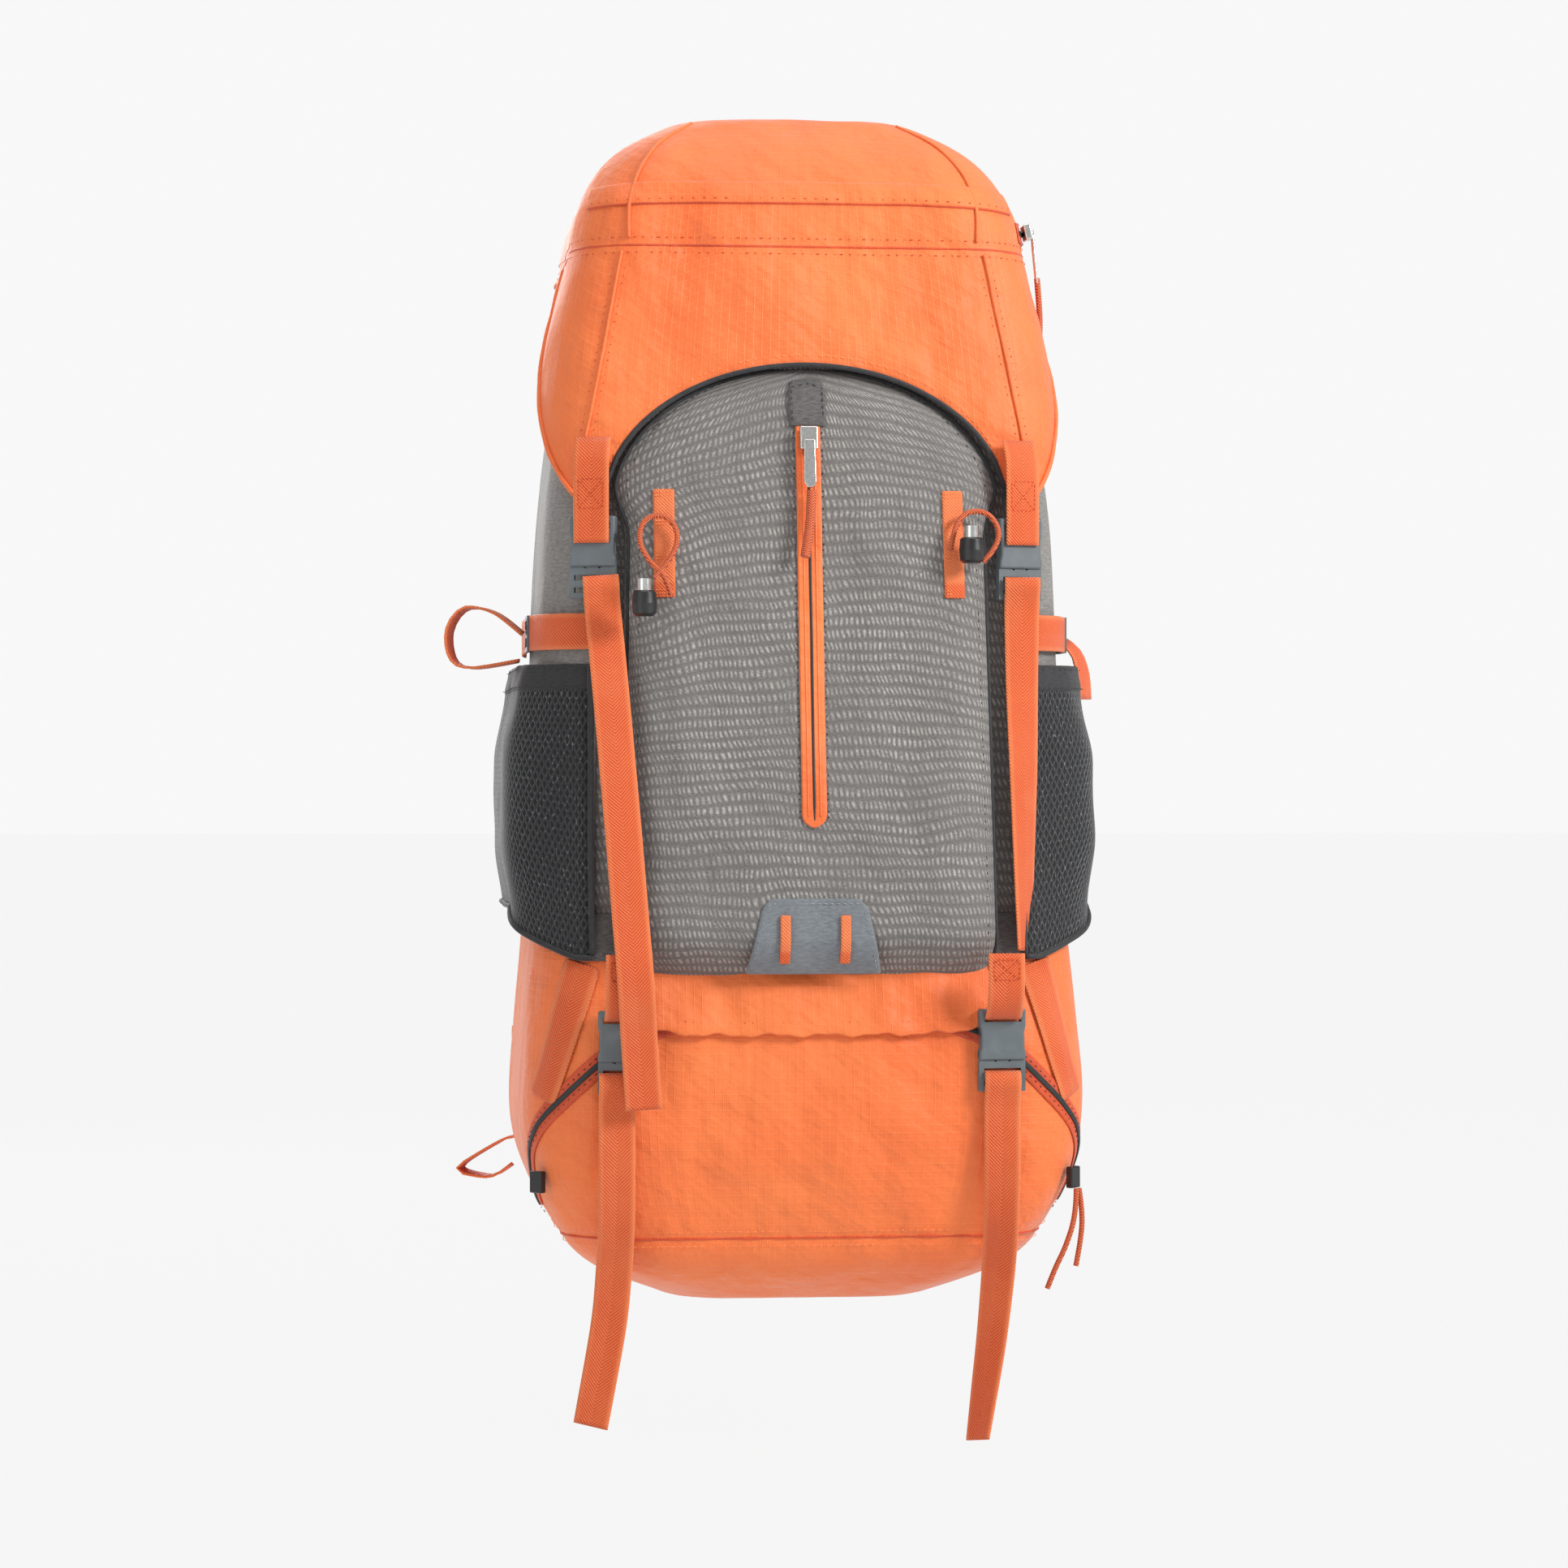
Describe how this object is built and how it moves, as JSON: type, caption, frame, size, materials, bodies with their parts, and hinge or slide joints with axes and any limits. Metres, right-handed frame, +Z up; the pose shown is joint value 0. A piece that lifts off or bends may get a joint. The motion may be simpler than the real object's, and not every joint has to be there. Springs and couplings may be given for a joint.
{
  "type": "hiking backpack",
  "caption": "Tall top-loading hiking backpack with a hinged hood, zipped front pocket, zipped lower compartment, mesh side pockets, harness and release buckles.",
  "frame": {"origin": "the inside of the haul loop's crown, where the pack hangs", "axes": "+Z up, +X to the right seen from the front pocket, +Y towards the wearer's back"},
  "size_m": [0.3932, 0.3976, 0.7362],
  "materials": {
    "orange_fabric": "ripstop nylon",
    "heather_fabric": "heather twill with light flecks",
    "grey_fabric": "plain weave",
    "mesh": "stretch mesh",
    "padding": "spacer mesh over foam",
    "orange_webbing": "twill webbing",
    "orange_cord": "braided cord",
    "zip_black": "coil zip",
    "zip_orange": "water-resistant zip",
    "slate_plastic": "moulded acetal",
    "black_plastic": "moulded acetal",
    "silver_metal": "polished zinc",
    "stay_metal": "drawn bar",
    "sheet_plastic": "polyethylene sheet",
    "patch": "rubberised patch",
    "collar_fabric": "light nylon"
  },
  "bodies": {
    "pack": {"back_pads": "padding", "back_panel": "padding", "buckle_prongs": "slate_plastic", "bungee_left": "orange_cord", "bungee_right": "orange_cord", "collar": "collar_fabric", "compartment_divider": "collar_fabric", "compression_straps": "orange_webbing", "cord_locks": "black_plastic", "daisy_strips": "orange_webbing", "diagonal_strap_left": "orange_webbing", "diagonal_strap_right": "orange_webbing", "drawcord": "orange_cord", "frame_sheet": "sheet_plastic", "frame_stays": "stay_metal", "front_panel": "grey_fabric", "front_pocket": "heather_fabric", "front_zip": "zip_orange", "haul_loop": "orange_webbing", "ladder_locks": "slate_plastic", "load_lifters": "orange_webbing", "lower_compartment": "orange_fabric", "lower_strap_left": "orange_webbing", "lower_strap_right": "orange_webbing", "lower_tabs": "orange_webbing", "lower_zip": "zip_black", "mesh_pocket_left": "mesh", "mesh_pocket_right": "mesh", "shoulder_strap_left": "padding", "shoulder_strap_right": "padding", "shoulder_webbing": "orange_webbing", "side_panel_left": "grey_fabric", "side_panel_right": "grey_fabric", "sternum_socket": "slate_plastic", "sternum_straps": "orange_webbing", "top_strap_left": "orange_webbing", "top_strap_right": "orange_webbing", "wear_patch": "patch"},
    "lid": {"lid_hood": "orange_fabric", "lid_zip": "zip_black", "lid_tabs": "orange_webbing"},
    "lid_slider": {"lid_zip_slider": "silver_metal"},
    "top_socket_left": {"top_buckle_left": "slate_plastic"},
    "lower_socket_left": {"lower_buckle_left": "slate_plastic"},
    "top_socket_right": {"top_buckle_right": "slate_plastic"},
    "lower_socket_right": {"lower_buckle_right": "slate_plastic"},
    "front_slider": {"front_zip_slider": "silver_metal"},
    "front_tab": {"front_zip_tab": "silver_metal", "front_zip_pull": "orange_cord"},
    "lower_slider_left": {"lower_zip_slider_left": "black_plastic"},
    "hip_wing_body_left": {"hip_wing_left": "padding", "hip_webbing_left": "orange_webbing"},
    "lower_slider_right": {"lower_zip_slider_right": "black_plastic"},
    "hip_wing_body_right": {"hip_wing_right": "padding", "hip_webbing_right": "orange_webbing"},
    "lock_button_left": {"cord_lock_button_left": "slate_plastic"},
    "lock_button_right": {"cord_lock_button_right": "slate_plastic"},
    "lock_button_top": {"cord_lock_button_top": "slate_plastic"},
    "sternum_half": {"sternum_prongs": "slate_plastic"}
  },
  "joints": [
    {"name": "lid_hinge", "type": "hinge", "parent": "pack", "child": "lid", "pos_m": [0, -0.026, 0.031], "axis": [-1, 0, 0], "range_deg": [0, 100]},
    {"name": "lid_zip_slide", "type": "slide", "parent": "lid", "child": "lid_slider", "axis": [0, 1, 0], "range_m": [0, 0.09]},
    {"name": "top_buckle_left_release", "type": "slide", "parent": "pack", "child": "top_socket_left", "axis": [0, 0, 1], "range_m": [0, 0.028]},
    {"name": "lower_buckle_left_release", "type": "slide", "parent": "pack", "child": "lower_socket_left", "axis": [0, 0, 1], "range_m": [0, 0.0168]},
    {"name": "top_buckle_right_release", "type": "slide", "parent": "pack", "child": "top_socket_right", "axis": [0, 0, 1], "range_m": [0, 0.028]},
    {"name": "lower_buckle_right_release", "type": "slide", "parent": "pack", "child": "lower_socket_right", "axis": [0, 0, 1], "range_m": [0, 0.0168]},
    {"name": "front_zip_slide", "type": "slide", "parent": "pack", "child": "front_slider", "axis": [0, -0.1582, -0.9874], "range_m": [0, 0.205]},
    {"name": "front_tab_swing", "type": "hinge", "parent": "front_slider", "child": "front_tab", "pos_m": [0, -0.2364, -0.072], "axis": [-1, 0, 0], "range_deg": [0, 115]},
    {"name": "lower_zip_slide_left", "type": "slide", "parent": "pack", "child": "lower_slider_left", "axis": [-0.2893, -0.1895, 0.9383], "range_m": [0, 0.018]},
    {"name": "hip_wing_left_fold", "type": "hinge", "parent": "pack", "child": "hip_wing_body_left", "pos_m": [-0.074, -0.022, -0.426], "axis": [0, 0, -1], "range_deg": [-8, 2]},
    {"name": "lower_zip_slide_right", "type": "slide", "parent": "pack", "child": "lower_slider_right", "axis": [0.2893, -0.1895, 0.9383], "range_m": [0, 0.018]},
    {"name": "hip_wing_right_fold", "type": "hinge", "parent": "pack", "child": "hip_wing_body_right", "pos_m": [0.074, -0.022, -0.426], "axis": [0, 0, 1], "range_deg": [-8, 2]},
    {"name": "cord_lock_left_press", "type": "slide", "parent": "pack", "child": "lock_button_left", "axis": [0, 0, -1], "range_m": [0, 0.0025], "stiffness_N_per_m": 400},
    {"name": "cord_lock_right_press", "type": "slide", "parent": "pack", "child": "lock_button_right", "axis": [0, 0, -1], "range_m": [0, 0.0025], "stiffness_N_per_m": 400},
    {"name": "cord_lock_top_press", "type": "slide", "parent": "pack", "child": "lock_button_top", "axis": [0, 0, -1], "range_m": [0, 0.0025], "stiffness_N_per_m": 400},
    {"name": "sternum_release", "type": "slide", "parent": "pack", "child": "sternum_half", "axis": [1, 0, 0], "range_m": [0, 0.018]}
  ]
}
